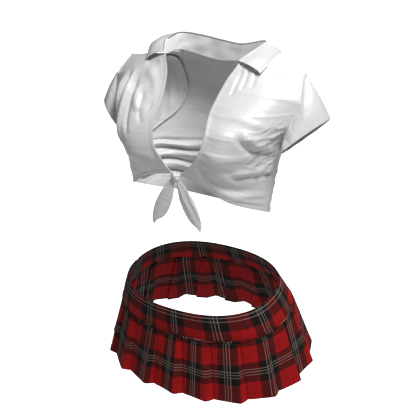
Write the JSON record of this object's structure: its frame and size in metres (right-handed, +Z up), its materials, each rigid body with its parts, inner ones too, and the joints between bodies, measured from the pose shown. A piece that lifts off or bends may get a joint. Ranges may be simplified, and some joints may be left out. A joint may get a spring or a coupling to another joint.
{
  "type": "cheer uniform",
  "caption": "Tied, cropped, short-sleeved collared shirt over a pleated tartan mini skirt with a plain hip yoke and a side zip, shaped as worn.",
  "frame": {"origin": "middle of the skirt's waist opening, where the wearer's high hip holds it", "axes": "+Z up the wearer's body, -Y the wearer's front, +X the wearer's left"},
  "size_m": [0.4286, 0.3236, 0.6232],
  "materials": {
    "white_cotton": "satin",
    "tartan": "matte",
    "black_tape": "matte",
    "dark_metal": "satin"
  },
  "bodies": {
    "skirt": {"yoke_front": "tartan", "yoke_back": "tartan", "yoke_lining": "tartan", "hip_seam_cord": "black_tape", "zip_tape_front": "black_tape", "zip_tape_back": "black_tape", "zip_teeth_front": "dark_metal", "zip_teeth_back": "dark_metal", "zip_bottom_stop": "dark_metal", "waist_hook": "dark_metal", "waist_bar": "dark_metal"},
    "top": {"back_panel": "white_cotton", "front_left": "white_cotton", "front_right": "white_cotton", "armhole_facing_left": "white_cotton", "armhole_facing_right": "white_cotton", "sleeve_left": "white_cotton", "sleeve_right": "white_cotton", "collar_stand": "white_cotton", "collar_fall": "white_cotton", "knot": "white_cotton"},
    "collar_point_left": {"collar_point_left": "white_cotton"},
    "collar_point_right": {"collar_point_right": "white_cotton"},
    "tie_tail_left": {"tie_tail_left": "white_cotton"},
    "tie_tail_right": {"tie_tail_right": "white_cotton"},
    "zip_slider": {"zip_slider": "dark_metal"},
    "zip_pull": {"zip_pull": "dark_metal"},
    "pleat_01": {"pleat_01": "tartan"},
    "pleat_02": {"pleat_02": "tartan"},
    "pleat_03": {"pleat_03": "tartan"},
    "pleat_04": {"pleat_04": "tartan"},
    "pleat_05": {"pleat_05": "tartan"},
    "pleat_06": {"pleat_06": "tartan"},
    "pleat_07": {"pleat_07": "tartan"},
    "pleat_08": {"pleat_08": "tartan"},
    "pleat_09": {"pleat_09": "tartan"},
    "pleat_10": {"pleat_10": "tartan"},
    "pleat_11": {"pleat_11": "tartan"},
    "pleat_12": {"pleat_12": "tartan"},
    "pleat_13": {"pleat_13": "tartan"},
    "pleat_14": {"pleat_14": "tartan"},
    "pleat_15": {"pleat_15": "tartan"},
    "pleat_16": {"pleat_16": "tartan"},
    "pleat_17": {"pleat_17": "tartan"},
    "pleat_18": {"pleat_18": "tartan"}
  },
  "joints": [
    {"name": "top_lift", "type": "slide", "parent": "skirt", "child": "top", "axis": [0, 0, 1], "range_m": [0, 0.45]},
    {"name": "collar_point_left_turn", "type": "hinge", "parent": "top", "child": "collar_point_left", "pos_m": [0.0785, 0.0255, 0.4335], "axis": [-0.2163, -0.9371, -0.2739], "range_deg": [0, 90]},
    {"name": "collar_point_right_turn", "type": "hinge", "parent": "top", "child": "collar_point_right", "pos_m": [-0.0695, 0.0245, 0.4285], "axis": [-0.0764, 0.9626, 0.2598], "range_deg": [0, 90]},
    {"name": "tie_tail_left_swing", "type": "hinge", "parent": "top", "child": "tie_tail_left", "pos_m": [0.0105, -0.1042, 0.236], "axis": [-1, 0, 0], "range_deg": [0, 60]},
    {"name": "tie_tail_right_swing", "type": "hinge", "parent": "top", "child": "tie_tail_right", "pos_m": [-0.0015, -0.1042, 0.236], "axis": [-1, 0, 0], "range_deg": [0, 60]},
    {"name": "zip_slide", "type": "slide", "parent": "skirt", "child": "zip_slider", "axis": [-0.3396, 0.2933, -0.8936], "range_m": [0, 0.034]},
    {"name": "zip_pull_swing", "type": "hinge", "parent": "zip_slider", "child": "zip_pull", "pos_m": [-0.14689, 0.00244, -0.0067], "axis": [0.076, 0.9556, 0.2848], "range_deg": [0, 100]},
    {"name": "pleat_01_kick", "type": "hinge", "parent": "skirt", "child": "pleat_01", "pos_m": [0.04537, -0.10789, -0.06432], "axis": [-0.9882, -0.1526, -0.0125], "range_deg": [0, 30]},
    {"name": "pleat_02_kick", "type": "hinge", "parent": "skirt", "child": "pleat_02", "pos_m": [0.09521, -0.09303, -0.06311], "axis": [-0.9019, -0.4305, -0.0353], "range_deg": [0, 30]},
    {"name": "pleat_03_kick", "type": "hinge", "parent": "skirt", "child": "pleat_03", "pos_m": [0.13674, -0.06179, -0.06058], "axis": [-0.6469, -0.76, -0.0623], "range_deg": [0, 30]},
    {"name": "pleat_04_kick", "type": "hinge", "parent": "skirt", "child": "pleat_04", "pos_m": [0.15965, -0.01527, -0.05682], "axis": [-0.2137, -0.9736, -0.0798], "range_deg": [0, 30]},
    {"name": "pleat_05_kick", "type": "hinge", "parent": "skirt", "child": "pleat_05", "pos_m": [0.16176, 0.03658, -0.05262], "axis": [0.1112, -0.9905, -0.0812], "range_deg": [0, 30]},
    {"name": "pleat_06_kick", "type": "hinge", "parent": "skirt", "child": "pleat_06", "pos_m": [0.1446, 0.08551, -0.04866], "axis": [0.5478, -0.8338, -0.0684], "range_deg": [0, 30]},
    {"name": "pleat_07_kick", "type": "hinge", "parent": "skirt", "child": "pleat_07", "pos_m": [0.10674, 0.12107, -0.04578], "axis": [0.8577, -0.5124, -0.042], "range_deg": [0, 30]},
    {"name": "pleat_08_kick", "type": "hinge", "parent": "skirt", "child": "pleat_08", "pos_m": [0.05818, 0.13971, -0.04427], "axis": [0.9767, -0.2139, -0.0175], "range_deg": [0, 30]},
    {"name": "pleat_09_kick", "type": "hinge", "parent": "skirt", "child": "pleat_09", "pos_m": [0.00649, 0.14507, -0.04384], "axis": [0.9999, -0.0122, -0.001], "range_deg": [0, 30]},
    {"name": "pleat_10_kick", "type": "hinge", "parent": "skirt", "child": "pleat_10", "pos_m": [-0.04537, 0.14209, -0.04408], "axis": [0.9882, 0.1526, 0.0125], "range_deg": [0, 30]},
    {"name": "pleat_11_kick", "type": "hinge", "parent": "skirt", "child": "pleat_11", "pos_m": [-0.09521, 0.12723, -0.04529], "axis": [0.9019, 0.4305, 0.0353], "range_deg": [0, 30]},
    {"name": "pleat_12_kick", "type": "hinge", "parent": "skirt", "child": "pleat_12", "pos_m": [-0.13674, 0.09599, -0.04781], "axis": [0.6469, 0.76, 0.0623], "range_deg": [0, 30]},
    {"name": "pleat_13_kick", "type": "hinge", "parent": "skirt", "child": "pleat_13", "pos_m": [-0.15965, 0.04947, -0.05157], "axis": [0.2137, 0.9736, 0.0798], "range_deg": [0, 30]},
    {"name": "pleat_14_kick", "type": "hinge", "parent": "skirt", "child": "pleat_14", "pos_m": [-0.16176, -0.00238, -0.05578], "axis": [-0.1112, 0.9905, 0.0812], "range_deg": [0, 30]},
    {"name": "pleat_15_kick", "type": "hinge", "parent": "skirt", "child": "pleat_15", "pos_m": [-0.1446, -0.05131, -0.05974], "axis": [-0.5478, 0.8338, 0.0684], "range_deg": [0, 30]},
    {"name": "pleat_16_kick", "type": "hinge", "parent": "skirt", "child": "pleat_16", "pos_m": [-0.10674, -0.08687, -0.06261], "axis": [-0.8577, 0.5124, 0.042], "range_deg": [0, 30]},
    {"name": "pleat_17_kick", "type": "hinge", "parent": "skirt", "child": "pleat_17", "pos_m": [-0.05818, -0.10551, -0.06412], "axis": [-0.9767, 0.2139, 0.0175], "range_deg": [0, 30]},
    {"name": "pleat_18_kick", "type": "hinge", "parent": "skirt", "child": "pleat_18", "pos_m": [-0.00649, -0.11087, -0.06456], "axis": [-0.9999, 0.0122, 0.001], "range_deg": [0, 30]}
  ],
  "couplings": [
    {"joint": "pleat_02_kick", "follows": "pleat_01_kick", "ratio": 1},
    {"joint": "pleat_03_kick", "follows": "pleat_01_kick", "ratio": 1},
    {"joint": "pleat_04_kick", "follows": "pleat_01_kick", "ratio": 1},
    {"joint": "pleat_05_kick", "follows": "pleat_01_kick", "ratio": 1},
    {"joint": "pleat_06_kick", "follows": "pleat_01_kick", "ratio": 1},
    {"joint": "pleat_07_kick", "follows": "pleat_01_kick", "ratio": 1},
    {"joint": "pleat_08_kick", "follows": "pleat_01_kick", "ratio": 1},
    {"joint": "pleat_09_kick", "follows": "pleat_01_kick", "ratio": 1},
    {"joint": "pleat_10_kick", "follows": "pleat_01_kick", "ratio": 1},
    {"joint": "pleat_11_kick", "follows": "pleat_01_kick", "ratio": 1},
    {"joint": "pleat_12_kick", "follows": "pleat_01_kick", "ratio": 1},
    {"joint": "pleat_13_kick", "follows": "pleat_01_kick", "ratio": 1},
    {"joint": "pleat_14_kick", "follows": "pleat_01_kick", "ratio": 1},
    {"joint": "pleat_15_kick", "follows": "pleat_01_kick", "ratio": 1},
    {"joint": "pleat_16_kick", "follows": "pleat_01_kick", "ratio": 1},
    {"joint": "pleat_17_kick", "follows": "pleat_01_kick", "ratio": 1},
    {"joint": "pleat_18_kick", "follows": "pleat_01_kick", "ratio": 1}
  ]
}
